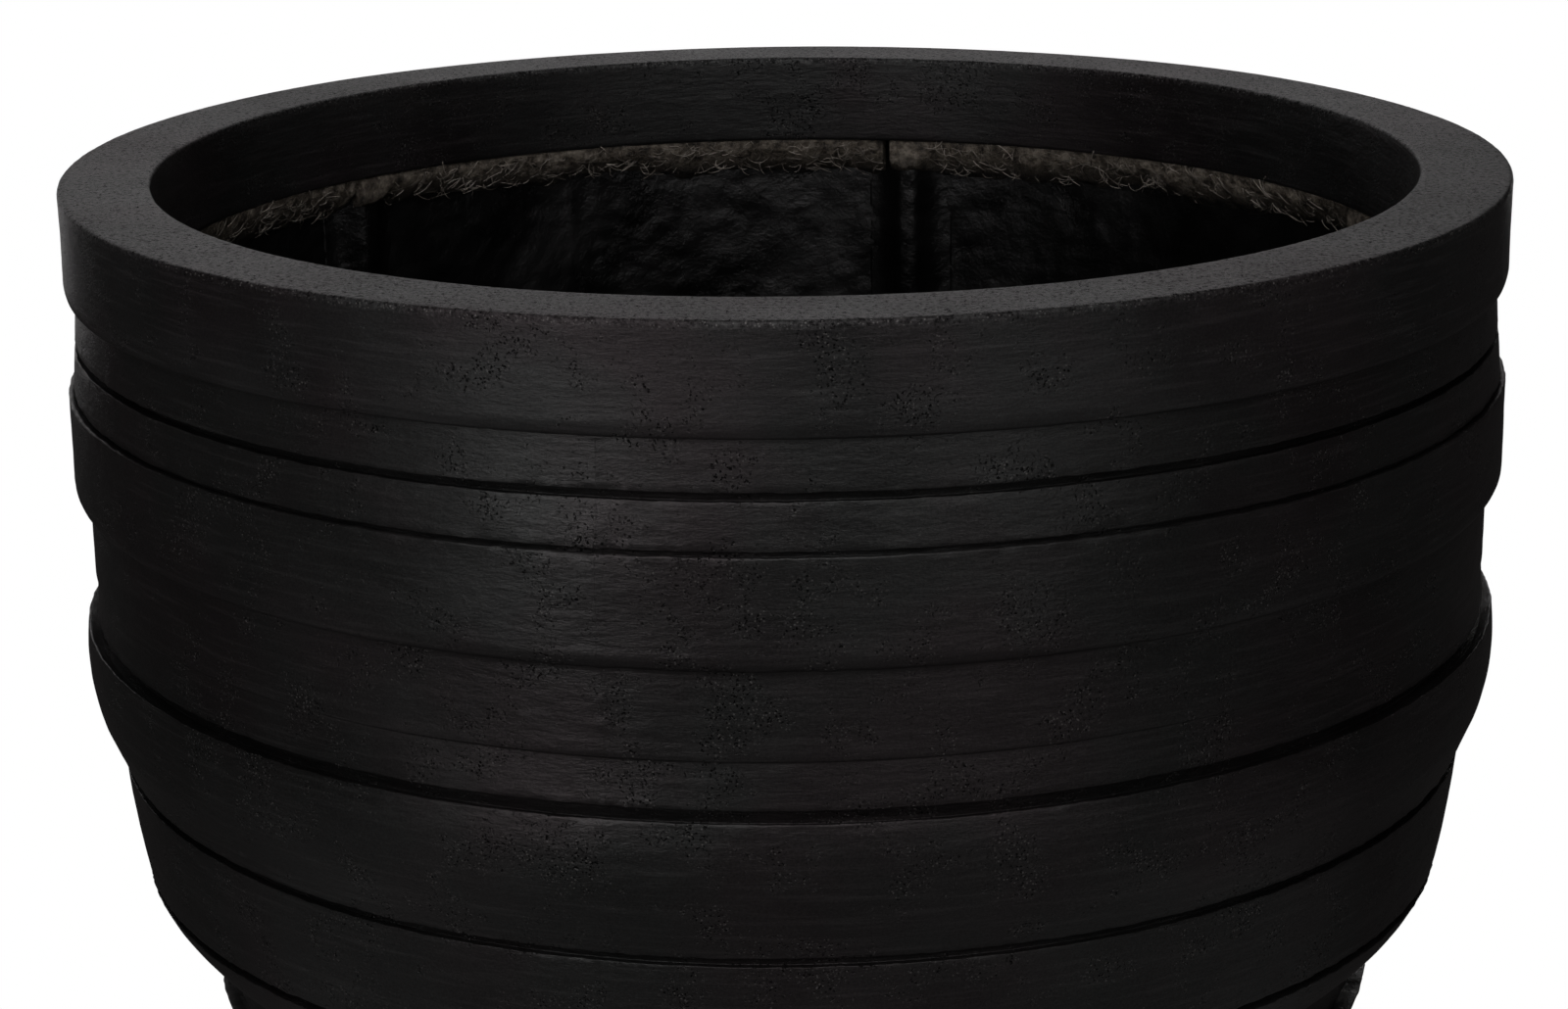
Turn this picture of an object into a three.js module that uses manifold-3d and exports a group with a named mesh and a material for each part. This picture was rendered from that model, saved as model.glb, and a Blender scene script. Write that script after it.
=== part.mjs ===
// A large round garden tub, moulded in two halves in black cement-and-resin facing over a
// glass-fibre laminate, with stacked bands outside, a flat-topped rim, six glassed-over ribs
// inside, a base with a drain, and a rubber drain bung.
//
// Millimetres, +Z up. The origin is on the floor, at the middle of the foot.

import * as THREE from 'three';
import { mergeVertices } from 'three/addons/utils/BufferGeometryUtils.js';
import Module from 'manifold-3d';

const wasm = await Module();
wasm.setup();

// Driving dimensions
const HEIGHT = 700; // floor to rim top
const RIM_RADIUS = 496; // the widest point of the tub
const RIM_WIDTH = 63; // flat top of the rim, outer edge to opening
const RIM_DROP = 71; // outer face of the rim, top to lower edge
const RIM_RETURN = 68; // inner face of the rim, top to lower edge
const RIM_SKIN = 12; // thickness of the rim's top and legs
const LAMINATE = 5; // thickness of the glass-fibre laminate
const GAP = 0.3; // clearance between bonded pieces
const SLOPE_GAP = 0.5; // the same, measured level, where the wall slopes

// The tub is round, in flat steps that start at the front seam.
const STEPS = 48;
const STEP = 360 / STEPS;
const FRONT_SEAM = 257; // degrees from +X, counter-clockwise seen from above
const BACK_SEAM = FRONT_SEAM - 180;
const SEAM_GAP = 0.02; // degrees left open on each side of a seam

const RIBS = 6;
const RIB_FOOT = 19; // half the rib's width at the wall
const RIB_CROWN = 12; // half its width at the crown
const RIB_DEPTH = 20; // wall to crown
const RIB_SKIN = 3; // laminate over the rib's core
const RIB_TOP = HEIGHT - RIM_RETURN - 1;

const FILLET_FOOT = 33; // height of the fillet on the wall
const FILLET_NOSE = 437; // radius of its lip below the rim's return
const FILLET_END = 2.5; // degrees from a rib's middle to the end of the fillet beside it

const FOOT_TOP = 38; // height of the plinth ring
const FLOOR_THICK = 22; // the base disc
const FLOOR_BOTTOM = FOOT_TOP + GAP;
const DRAIN_RADIUS = 25; // hole in the base disc
const BORE_RADIUS = 20.5; // bore of the drain bush
const BUSH_FLANGE = 38;
const BUSH_LIP = 4; // thickness of the bush's flange
const BUNG_FLANGE = 29;
const BUNG_HEAD = 6;
const PULL_RING = 12.5; // mean radius of the steel ring
const PULL_WIRE = 2.2; // radius of its wire
const LUG_HOLE = 10; // height of the lug's hole above the bung's head
const NOTCHES = 4; // drain notches in the plinth ring
const NOTCH_WIDTH = 46;
const NOTCH_HEIGHT = 12;

const radians = (degrees) => (degrees * Math.PI) / 180;

// A level distance below the rim's top, as a height above the floor.
const below = (depth) => HEIGHT - depth;

// Points along a round stretch of outline, after its first point.
function bend(from, bulge, to, count) {
  const curve = new THREE.QuadraticBezierCurve(
    new THREE.Vector2(...from),
    new THREE.Vector2(...bulge),
    new THREE.Vector2(...to),
  );
  return curve.getPoints(count).slice(1).map((point) => [point.x, point.y]);
}

// The outside of the wall from under the rim to the plinth, as [radius, height].
// A crevice divides each recess from the band below it.
function outerOutline() {
  const recess = [
    [487.5, below(RIM_SKIN + 2)],
    [487.5, below(73)],
    [489.5, below(102.5)],
    [479, below(104)],
    [479, below(106.5)],
    [487.5, below(108)],
    [490.5, below(116)],
    [491.7, below(136.5)],
    [490, below(138)],
  ];
  const shoulder = [
    [495.5, below(140)],
    [496, below(180)],
  ];
  const shoulderFoot = bend([496, below(180)], [498.5, below(207.5)], [487.5, below(209.5)], 4);
  const deepRecess = [
    [486.5, below(265.5)],
    [485.3, below(267.5)],
    [487, below(297)],
    [478, below(298.5)],
    [478, below(303)],
    [489, below(301.5)],
    [494.3, below(301)],
  ];
  const middleBand = bend([494.3, below(301)], [497, below(330)], [489.5, below(361)], 5);
  const taperedRecess = [
    [474.5, below(395.5)],
    [466, below(397)],
    [466, below(399.5)],
    [474.5, below(401)],
  ];
  const lowerBand = bend([474.5, below(401)], [471, below(440)], [463, below(478)], 4);
  const lowerCrevice = [
    [452, below(480)],
    [452, below(482)],
    [462.5, below(483.5)],
  ];
  const bowl = bend([462.5, below(483.5)], [452, below(510)], [412.5, below(541)], 5);
  const lastRecess = [
    [409.5, below(544)],
    [407.5, below(570.5)],
    [399, below(572)],
    [399, below(574.5)],
    [417, below(575.5)],
  ];
  const heel = bend([417, below(575.5)], [408, below(616)], [330, FOOT_TOP + GAP], 5);
  return [
    ...recess,
    ...shoulder,
    ...shoulderFoot,
    ...deepRecess,
    ...middleBand,
    ...taperedRecess,
    ...lowerBand,
    ...lowerCrevice,
    ...bowl,
    ...lastRecess,
    ...heel,
  ];
}

// The inside of the facing, where the laminate is bonded, from the top down.
function innerOutline() {
  return [
    [468.3, below(RIM_SKIN + 2)],
    [468.3, below(300)],
    [455.5, below(400)],
    [433, below(480)],
    [404, below(545)],
    [381, below(580)],
    [350, below(630)],
    [318, FOOT_TOP + GAP],
  ];
}

// The same outline moved inwards by a level distance that keeps the given thickness on slopes.
function movedIn(outline, thickness) {
  return outline.map(([radius, height], index) => {
    const before = outline[Math.max(index - 1, 0)];
    const after = outline[Math.min(index + 1, outline.length - 1)];
    const run = before[0] - after[0];
    const fall = before[1] - after[1];
    return [radius - thickness * Math.hypot(run, fall) / fall, height];
  });
}

// The radius where a ray at this angle meets a round wall made of flat steps.
function flatRadius(radius, angle) {
  const turned = (((angle - FRONT_SEAM) % STEP) + STEP) % STEP;
  return (radius * Math.cos(radians(STEP / 2))) / Math.cos(radians(turned - STEP / 2));
}

// A closed solid swept through a row of places, each of which puts a flat point in space.
// The section is drawn so that, at the first place, its front faces away from the row.
function sweep(section, places, closed) {
  const flat = section.map(([x, y]) => new THREE.Vector2(x, y));
  if (THREE.ShapeUtils.isClockWise(flat)) {
    flat.reverse();
  }
  const size = flat.length;
  const points = places.flatMap((place) => flat.flatMap(({ x, y }) => place(x, y)));
  const faces = [];
  const spans = closed ? places.length : places.length - 1;
  for (let span = 0; span < spans; span += 1) {
    const near = span * size;
    const far = ((span + 1) % places.length) * size;
    for (let side = 0; side < size; side += 1) {
      const next = (side + 1) % size;
      faces.push(near + side, far + next, near + next);
      faces.push(near + side, far + side, far + next);
    }
  }
  if (!closed) {
    const last = (places.length - 1) * size;
    for (const [a, b, c] of THREE.ShapeUtils.triangulateShape(flat, [])) {
      faces.push(a, b, c);
      faces.push(last + c, last + b, last + a);
    }
  }
  const geometry = new THREE.BufferGeometry();
  geometry.setAttribute('position', new THREE.Float32BufferAttribute(points, 3));
  geometry.setIndex(faces);
  geometry.computeVertexNormals();
  return geometry;
}

// A section of [radius, height] points turned about Z, through the given angles.
function turned(section, angles, closed) {
  const places = angles.map((angle) => (radius, height) => {
    const reach = flatRadius(radius, angle);
    return [reach * Math.cos(radians(angle)), reach * Math.sin(radians(angle)), height];
  });
  return sweep(section, places, closed);
}

function ringOf(section) {
  const angles = Array.from({ length: STEPS }, (_, step) => FRONT_SEAM + step * STEP);
  return turned(section, angles, true);
}

// Part of a ring, with ends that may fall between two of the wall's steps.
function arcOf(section, from, to) {
  const angles = [from];
  const firstStep = Math.ceil((from + 0.5 - FRONT_SEAM) / STEP);
  for (let angle = FRONT_SEAM + firstStep * STEP; angle < to - 0.5; angle += STEP) {
    angles.push(angle);
  }
  angles.push(to);
  return turned(section, angles, false);
}

// Each half of the wall runs from one seam to the other.
function halfOf(section, from) {
  return arcOf(section, from + SEAM_GAP, from + 180 - SEAM_GAP);
}

function facingSection() {
  return [...outerOutline(), ...innerOutline().toReversed()];
}

function laminateOutlines() {
  const outside = movedIn(innerOutline(), GAP);
  const inside = movedIn(innerOutline(), GAP + LAMINATE);
  return { outside, inside };
}

function laminateSection() {
  const { outside, inside } = laminateOutlines();
  return [...outside, ...inside.toReversed()];
}

// The rim is an inverted U that drops over the wall's top edge.
function rimSection() {
  const mouth = RIM_RADIUS - RIM_WIDTH;
  const top = HEIGHT;
  return [
    [488, below(RIM_DROP) + 2],
    [491, below(RIM_DROP)],
    [494, below(RIM_DROP - 2)],
    [495.7, below(RIM_DROP - 8)],
    [RIM_RADIUS, below(6)],
    [RIM_RADIUS - 1.5, below(1.5)],
    [RIM_RADIUS - 6, top],
    [mouth + 6, top],
    [mouth + 1.5, below(1.5)],
    [mouth, below(6)],
    [mouth, below(RIM_RETURN) + 2],
    [mouth + 2, below(RIM_RETURN)],
    [mouth + RIM_SKIN, below(RIM_RETURN)],
    [mouth + RIM_SKIN, below(RIM_SKIN)],
    [488, below(RIM_SKIN)],
  ];
}

function rimCoreSection() {
  const inner = RIM_RADIUS - RIM_WIDTH + RIM_SKIN + SLOPE_GAP;
  const outer = laminateOutlines().inside[0][0] - SLOPE_GAP;
  return [
    [inner, below(RIM_RETURN)],
    [outer, below(RIM_RETURN)],
    [outer, below(RIM_SKIN + 2)],
    [inner, below(RIM_SKIN + 2)],
  ];
}

function filletSection() {
  const wall = laminateOutlines().inside[0][0] - SLOPE_GAP;
  const top = below(RIM_RETURN) - SLOPE_GAP;
  return [
    [FILLET_NOSE, top],
    [FILLET_NOSE + 3, top - 9],
    [wall - 10, top - FILLET_FOOT + 9],
    [wall, top - FILLET_FOOT],
    [wall, top],
  ];
}

// Heights and wall radii that the ribs follow, from under the rim to just above the base.
function ribStations() {
  const wall = laminateOutlines().inside;
  const foot = wall.filter(([, height]) => height < RIB_TOP && height > FLOOR_BOTTOM + 40);
  return [[wall[0][0], RIB_TOP], ...foot];
}

// A rib's section swept down the wall. Points are [across, inwards from the wall], and a
// point on the wall follows the two flats that meet behind the rib.
function ribOf(section, angle) {
  const out = [Math.cos(radians(angle)), Math.sin(radians(angle))];
  const lean = Math.tan(radians(STEP / 2));
  const places = ribStations().map(([wall, height]) => (side, depth) => {
    const flats = depth > 0 ? 0 : Math.abs(side) * lean;
    const reach = wall - SLOPE_GAP - depth - flats;
    return [out[0] * reach - out[1] * side, out[1] * reach + out[0] * side, height];
  });
  return sweep(section, places, false);
}

// Top-hat laminate, open to the wall.
function ribSkinSection() {
  const core = RIB_CROWN - RIB_SKIN;
  const foot = RIB_FOOT - RIB_SKIN - 0.5;
  return [
    [-RIB_FOOT, 0],
    [-RIB_CROWN, RIB_DEPTH],
    [RIB_CROWN, RIB_DEPTH],
    [RIB_FOOT, 0],
    [foot, 0],
    [core, RIB_DEPTH - RIB_SKIN],
    [-core, RIB_DEPTH - RIB_SKIN],
    [-foot, 0],
  ];
}

function ribCoreSection() {
  const crown = RIB_CROWN - RIB_SKIN - 0.5;
  const foot = RIB_FOOT - RIB_SKIN - 1;
  return [
    [-foot, 0],
    [-crown, RIB_DEPTH - RIB_SKIN - GAP],
    [crown, RIB_DEPTH - RIB_SKIN - GAP],
    [foot, 0],
    [0, 0],
  ];
}

// The floor's edge follows the laminate's slope.
function baseSection() {
  const inside = laminateOutlines().inside;
  const [upper, lower] = inside.slice(-2);
  const top = FLOOR_BOTTOM + FLOOR_THICK;
  const share = (top - lower[1]) / (upper[1] - lower[1]);
  const topRadius = lower[0] + (upper[0] - lower[0]) * share;
  return [
    [DRAIN_RADIUS, FLOOR_BOTTOM],
    [lower[0] - SLOPE_GAP, FLOOR_BOTTOM],
    [topRadius - SLOPE_GAP, top],
    [DRAIN_RADIUS, top],
  ];
}

function footSection() {
  return [
    [286, 0],
    [322, 0],
    [326, 4],
    [328, FOOT_TOP],
    [290, FOOT_TOP],
  ];
}

function toSolid(geometry) {
  geometry.deleteAttribute('normal');
  geometry.deleteAttribute('uv');
  const merged = mergeVertices(geometry);
  return new wasm.Manifold(new wasm.Mesh({
    numProp: 3,
    vertProperties: merged.getAttribute('position').array,
    triVerts: new Uint32Array(merged.getIndex().array),
  }));
}

function fromSolid(solid) {
  const { vertProperties, triVerts } = solid.getMesh();
  const geometry = new THREE.BufferGeometry();
  geometry.setAttribute('position', new THREE.Float32BufferAttribute(vertProperties, 3));
  geometry.setIndex(Array.from(triVerts));
  geometry.computeVertexNormals();
  return geometry;
}

// The plinth ring, with notches that let the drained water out.
function footRing() {
  let ring = toSolid(ringOf(footSection()));
  for (let notch = 0; notch < NOTCHES; notch += 1) {
    const cutter = new THREE.BoxGeometry(80, NOTCH_WIDTH, 2 * NOTCH_HEIGHT);
    cutter.translate(306, 0, 0);
    cutter.rotateZ(radians(FRONT_SEAM + STEP / 2 + (notch * 360) / NOTCHES));
    ring = ring.subtract(toSolid(cutter));
  }
  return fromSolid(ring);
}

// A lathe turned about Z from a closed loop of [radius, height] points.
function lathe(points, segments) {
  const profile = points.map(([radius, height]) => new THREE.Vector2(radius, height));
  return new THREE.LatheGeometry(profile, segments).rotateX(Math.PI / 2);
}

function drainBush() {
  const top = FLOOR_BOTTOM + FLOOR_THICK + GAP;
  const outer = DRAIN_RADIUS - GAP;
  return lathe([
    [BORE_RADIUS, top + BUSH_LIP],
    [BORE_RADIUS, FLOOR_BOTTOM - 4],
    [outer, FLOOR_BOTTOM - 4],
    [outer, top],
    [BUSH_FLANGE, top],
    [BUSH_FLANGE, top + BUSH_LIP - 1],
    [BUSH_FLANGE - 1, top + BUSH_LIP],
    [BORE_RADIUS, top + BUSH_LIP],
  ], 24);
}

// The height where the bung's head rests on the bush.
const bungSeat = FLOOR_BOTTOM + FLOOR_THICK + BUSH_LIP + 2 * GAP;
const ringHeight = bungSeat + BUNG_HEAD + LUG_HOLE; // centre of the hole in the bung's lug

function bungBody() {
  return lathe([
    [0, bungSeat - 27],
    [BORE_RADIUS - 2.5, bungSeat - 27],
    [BORE_RADIUS - GAP - 0.2, bungSeat - 20],
    [BORE_RADIUS - GAP, bungSeat],
    [BUNG_FLANGE, bungSeat],
    [BUNG_FLANGE, bungSeat + BUNG_HEAD - 2],
    [BUNG_FLANGE - 2, bungSeat + BUNG_HEAD],
    [0, bungSeat + BUNG_HEAD],
  ], 24);
}

// The lug on the bung's head, with the hole for the ring.
function bungLug() {
  const width = 9;
  const shape = new THREE.Shape();
  shape.moveTo(-width, bungSeat + BUNG_HEAD - 1);
  shape.lineTo(width, bungSeat + BUNG_HEAD - 1);
  shape.absarc(0, ringHeight, width - 1, 0, Math.PI, false);
  const hole = new THREE.Path();
  hole.absarc(0, ringHeight, PULL_WIRE + 1.5, 0, 2 * Math.PI, true);
  shape.holes.push(hole);
  const lug = new THREE.ExtrudeGeometry(shape, { depth: 8, bevelEnabled: false, curveSegments: 7 });
  lug.translate(0, 0, -4);
  lug.rotateX(Math.PI / 2);
  return lug;
}

function drainBung() {
  return fromSolid(toSolid(bungBody()).add(toSolid(bungLug())));
}

// The steel ring hangs in the lug's hole, with its far side on the bung's head.
function pullRing() {
  const drop = LUG_HOLE - PULL_WIRE - GAP;
  const tilt = Math.PI / 2 + Math.asin(drop / (2 * PULL_RING));
  const ring = new THREE.TorusGeometry(PULL_RING, PULL_WIRE, 8, 24);
  ring.rotateY(Math.PI / 2);
  ring.translate(0, 0, PULL_RING);
  ring.rotateY(tilt);
  ring.translate(0, 0, ringHeight);
  return ring;
}

const facing = { color: 0x1d1c1b, roughness: 0.85, metalness: 0 };
const laminate = { color: 0x0b0b0c, roughness: 0.4, metalness: 0 };
const strand = { color: 0x4a3826, roughness: 0.6, metalness: 0 };
const foam = { color: 0xb9ad84, roughness: 0.95, metalness: 0 };
const rubber = { color: 0x151515, roughness: 0.8, metalness: 0 };
const bushPlastic = { color: 0x3a3b3d, roughness: 0.55, metalness: 0 };
const steel = { color: 0xb5b7b9, roughness: 0.3, metalness: 1 };

const tub = new THREE.Group();

function add(name, geometry, finishing) {
  const mesh = new THREE.Mesh(geometry, new THREE.MeshStandardMaterial(finishing));
  mesh.name = name;
  tub.add(mesh);
}

add('facing_half_right', halfOf(facingSection(), FRONT_SEAM), facing);
add('facing_half_left', halfOf(facingSection(), BACK_SEAM), facing);
add('laminate_half_right', halfOf(laminateSection(), FRONT_SEAM), laminate);
add('laminate_half_left', halfOf(laminateSection(), BACK_SEAM), laminate);
add('rim_ring', ringOf(rimSection()), facing);
add('rim_core', ringOf(rimCoreSection()), foam);

const ribAngle = 360 / RIBS;
for (let rib = 0; rib < RIBS; rib += 1) {
  const angle = BACK_SEAM + rib * ribAngle;
  add(`rib_${rib + 1}`, ribOf(ribSkinSection(), angle), laminate);
  add(`rib_core_${rib + 1}`, ribOf(ribCoreSection(), angle), foam);
  const fillet = arcOf(filletSection(), angle + FILLET_END, angle + ribAngle - FILLET_END);
  add(`rim_fillet_${rib + 1}`, fillet, strand);
}

add('base_disc', ringOf(baseSection()), laminate);
add('foot_ring', footRing(), facing);
add('drain_bush', drainBush(), bushPlastic);
add('drain_bung', drainBung(), rubber);
add('bung_pull_ring', pullRing(), steel);

export default tub;
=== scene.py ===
"""A large round garden tub of black cement composite over ribbed glass fibre.

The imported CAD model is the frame. Every visible piece is made here at full detail around it:
the banded facing, the flat rim, the hand-laid laminate with its ribs and raw fillet, the base,
the plinth ring and the drain bung. Everything is in metres, +Z up, with the origin on the floor.
"""

import math

import bpy
import numpy as np
from mathutils import Matrix, Vector


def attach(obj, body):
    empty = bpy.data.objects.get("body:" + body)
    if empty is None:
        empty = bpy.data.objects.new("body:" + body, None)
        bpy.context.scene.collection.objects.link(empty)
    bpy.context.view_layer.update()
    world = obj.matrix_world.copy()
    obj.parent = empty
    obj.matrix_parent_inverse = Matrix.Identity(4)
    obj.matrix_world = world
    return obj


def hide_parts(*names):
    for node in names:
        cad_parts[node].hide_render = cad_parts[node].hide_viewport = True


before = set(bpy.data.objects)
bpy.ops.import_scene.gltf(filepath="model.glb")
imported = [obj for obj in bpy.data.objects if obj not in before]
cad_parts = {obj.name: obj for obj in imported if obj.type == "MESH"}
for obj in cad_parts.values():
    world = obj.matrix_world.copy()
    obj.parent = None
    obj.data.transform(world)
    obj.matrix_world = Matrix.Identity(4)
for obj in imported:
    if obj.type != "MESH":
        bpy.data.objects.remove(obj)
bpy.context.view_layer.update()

MM = 0.001
HEIGHT = 700.0
RIM_RADIUS = 496.0
RIM_WIDTH = 63.0
RIM_DROP = 71.0
RIM_RETURN = 68.0
RIM_SKIN = 12.0
LAMINATE = 5.0
FRONT_SEAM = 257.0
BACK_SEAM = FRONT_SEAM - 180.0
RIBS = 6
RIB_PITCH = 360.0 / RIBS
RIB_DEPTH = 20.0
RIB_HALF_WIDTH = 34.0
RIB_FOOT = 120.0
FILLET_NOSE = 437.5
STRANDS = 260
DRAIN_RADIUS = 25.5
FOOT_TOP = 38.0
FLOOR_TOP = 60.3
BUNG_SEAT = 64.9
BUNG_HEAD = 6.0
RING_HEIGHT = BUNG_SEAT + BUNG_HEAD + 10.0
PULL_RING = 12.5
PULL_WIRE = 2.2

TURN = 2 * math.pi


# ---------------------------------------------------------------- noise

def value_noise(x, y, z, seed):
    """Smooth noise from -1 to 1 on arrays of points, one feature per unit."""
    cells = [np.floor(axis).astype(np.int64) for axis in (x, y, z)]
    parts = [axis - cell for axis, cell in zip((x, y, z), cells)]
    parts = [part * part * (3 - 2 * part) for part in parts]
    total = np.zeros(np.broadcast(x, y, z).shape)
    for corner in range(8):
        steps = [(corner >> axis) & 1 for axis in range(3)]
        mix = (cells[0] + steps[0]) * 374761393 + (cells[1] + steps[1]) * 668265263
        mix = mix + (cells[2] + steps[2]) * 2147483647 + seed * 974634777
        mix = (mix ^ (mix >> 13)) * 1274126177
        mix = mix ^ (mix >> 16)
        level = (mix & 0xFFFF) / 32767.5 - 1
        weight = 1.0
        for part, step in zip(parts, steps):
            weight = weight * (part if step else 1 - part)
        total = total + level * weight
    return total


def fractal(x, y, z, size, octaves, seed):
    """Layered noise whose largest features are size across, in the units of the points."""
    total = 0.0
    reach = 1.0
    scale = 1.0 / size
    for octave in range(octaves):
        total = total + reach * value_noise(x * scale, y * scale, z * scale, seed + octave)
        reach *= 0.5
        scale *= 2.0
    return total


# ---------------------------------------------------------------- meshes

def new_object(name, vertices, faces, body="tub", flat_last=0):
    """A smooth-shaded piece whose last few faces, its cut ends, are flat."""
    mesh = bpy.data.meshes.new(name)
    mesh.from_pydata(vertices.tolist(), [], faces)
    mesh.update()
    smooth = [True] * (len(faces) - flat_last) + [False] * flat_last
    mesh.polygons.foreach_set("use_smooth", smooth)
    piece = bpy.data.objects.new(name, mesh)
    bpy.context.scene.collection.objects.link(piece)
    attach(piece, body)
    return piece


def grid_faces(rows, columns, wrap_rows, wrap_columns, flip=False):
    """Quads between neighbouring points of a grid stored row by row."""
    faces = []
    for row in range(rows if wrap_rows else rows - 1):
        ahead = (row + 1) % rows
        for column in range(columns if wrap_columns else columns - 1):
            beside = (column + 1) % columns
            quad = (row * columns + column, ahead * columns + column,
                    ahead * columns + beside, row * columns + beside)
            faces.append(quad[::-1] if flip else quad)
    return faces


def end_faces(rows, columns):
    """Faces that close the first and last rows of a grid of loops."""
    last = (rows - 1) * columns
    return [tuple(range(columns)), tuple(range(last, last + columns))[::-1]]


def bend(start, bulge, end, count):
    """Points along a round stretch, after its first point."""
    steps = np.linspace(0, 1, count + 1)[1:, None]
    start, bulge, end = (np.array(point, float) for point in (start, bulge, end))
    return ((1 - steps) ** 2 * start + 2 * steps * (1 - steps) * bulge + steps ** 2 * end).tolist()


def spaced(points, step):
    """The same outline with no stretch longer than step."""
    dense = [points[0]]
    for start, end in zip(points[:-1], points[1:]):
        count = max(1, math.ceil(math.dist(start, end) / step))
        for part in range(1, count + 1):
            share = part / count
            dense.append([a + (b - a) * share for a, b in zip(start, end)])
    return dense


def rounded(points, radius, count=3, closed=False):
    """The same outline with its corners rounded off."""
    last = len(points) - 1
    result = []
    for index, point in enumerate(points):
        if not closed and index in (0, last):
            result.append(list(point))
            continue
        before = np.array(points[index - 1], float)
        after = np.array(points[(index + 1) % len(points)], float)
        corner = np.array(point, float)
        back = before - corner
        ahead = after - corner
        reach = min(radius, 0.45 * np.linalg.norm(back), 0.45 * np.linalg.norm(ahead))
        start = corner + back / np.linalg.norm(back) * reach
        end = corner + ahead / np.linalg.norm(ahead) * reach
        result.append(start.tolist())
        result.extend(bend(start, corner, end, count))
    return result


def below(depth):
    return HEIGHT - depth


# ---------------------------------------------------------------- outlines

def wall_outline():
    """The outside of the wall from under the rim to the plinth, as [radius, height].

    The deeper crevices are undercut, which keeps their floors dark.
    """
    points = [
        [487.5, below(RIM_SKIN + 2)],
        [487.5, below(73)],
        [489.4, below(102.3)],
        [480, below(103)],
        [478, below(110)],
        [484, below(110)],
        [488.8, below(107.2)],
        [489.8, below(107.4)],
        [490.7, below(117)],
        [492, below(136.8)],
        [487.5, below(137.2)],
        [487, below(141)],
        [493.5, below(138.4)],
        [495.2, below(138.4)],
        [496, below(139.4)],
        [496.4, below(196)],
    ]
    points += bend([496.4, below(196)], [497.2, below(208.5)], [487.5, below(209.5)], 14)
    points += [
        [486.7, below(212)],
        [486.5, below(265.5)],
        [485.3, below(266.3)],
        [485.3, below(268)],
        [487, below(296.5)],
        [478.5, below(297.5)],
        [476.5, below(308)],
        [486, below(307)],
        [492, below(302.2)],
        [493.5, below(301.8)],
    ]
    points += bend([493.5, below(301.8)], [498, below(330)], [489.5, below(361)], 20)
    points += [
        [474.5, below(395.3)],
        [467, below(396)],
        [465, below(403)],
        [470, below(402.5)],
        [474.5, below(400.3)],
    ]
    points += bend([474.5, below(400.3)], [471, below(440)], [463, below(478)], 20)
    points += [
        [453, below(479)],
        [452, below(483.5)],
        [457, below(484.5)],
        [462.5, below(483.5)],
    ]
    points += bend([462.5, below(483.5)], [452, below(510)], [412.5, below(541)], 20)
    points += [
        [409.5, below(544)],
        [407.5, below(570.5)],
        [400, below(571.5)],
        [399, below(575.5)],
        [408, below(576.3)],
        [417, below(575.5)],
    ]
    points += bend([417, below(575.5)], [408, below(616)], [331, FOOT_TOP + 0.5], 24)
    return points


def inside_outline():
    """The laminate's face towards the hollow, from under the rim down to the base."""
    return [
        [463.0, below(RIM_SKIN + 2)],
        [463.0, below(300)],
        [450.2, below(400)],
        [427.2, below(480)],
        [397.7, below(545)],
        [374.3, below(580)],
        [342.7, below(630)],
        [310.6, FOOT_TOP + 0.3],
    ]


def inside_radius(height):
    outline = np.array(inside_outline())
    return np.interp(height, outline[::-1, 1], outline[::-1, 0])


# ---------------------------------------------------------------- materials

SAND = (0.16, 0.155, 0.15)
FILLER = (0.045, 0.044, 0.044)
# Painted shade in the pits.
PIT_SHADE = (0.001, 0.001, 0.001)
# The laminate's black resin, also used as painted shade on the fillet's lower edge.
RESIN_AND_SHADE_BLACK = (0.006, 0.006, 0.006)
SHINY_STRAND = (0.30, 0.265, 0.22)


def new_material(name, colour, roughness, metallic=0.0):
    material = bpy.data.materials.new(name)
    material.use_nodes = True
    shader = material.node_tree.nodes["Principled BSDF"]
    shader.inputs["Base Color"].default_value = (*colour, 1)
    shader.inputs["Roughness"].default_value = roughness
    shader.inputs["Metallic"].default_value = metallic
    return material, shader


def add_node(material, kind, **settings):
    node = material.node_tree.nodes.new(kind)
    for key, value in settings.items():
        if key in node.inputs:
            node.inputs[key].default_value = value
        else:
            setattr(node, key, value)
    return node


def link(material, source, output, target, socket):
    material.node_tree.links.new(source.outputs[output], target.inputs[socket])


def places(material, stretch=(1, 1, 1)):
    """Object coordinates in metres, scaled so that streaks can run one way."""
    where = add_node(material, "ShaderNodeTexCoord")
    mapping = add_node(material, "ShaderNodeMapping")
    mapping.inputs["Scale"].default_value = stretch
    link(material, where, "Object", mapping, "Vector")
    return mapping


def noise(material, where, scale, detail=4.0, roughness=0.55):
    node = add_node(material, "ShaderNodeTexNoise")
    node.inputs["Scale"].default_value = scale
    node.inputs["Detail"].default_value = detail
    node.inputs["Roughness"].default_value = roughness
    link(material, where, "Vector", node, "Vector")
    return node


def ramp(material, source, output, stops):
    node = add_node(material, "ShaderNodeValToRGB")
    elements = node.color_ramp.elements
    while len(elements) < len(stops):
        elements.new(0.5)
    for element, (place, colour) in zip(elements, stops):
        element.position = place
        element.color = (*colour, 1)
    link(material, source, output, node, "Fac")
    return node


def span(material, source, output, low, high, to_low, to_high):
    node = add_node(material, "ShaderNodeMapRange")
    node.inputs["From Min"].default_value = low
    node.inputs["From Max"].default_value = high
    node.inputs["To Min"].default_value = to_low
    node.inputs["To Max"].default_value = to_high
    link(material, source, output, node, "Value")
    return node


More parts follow.
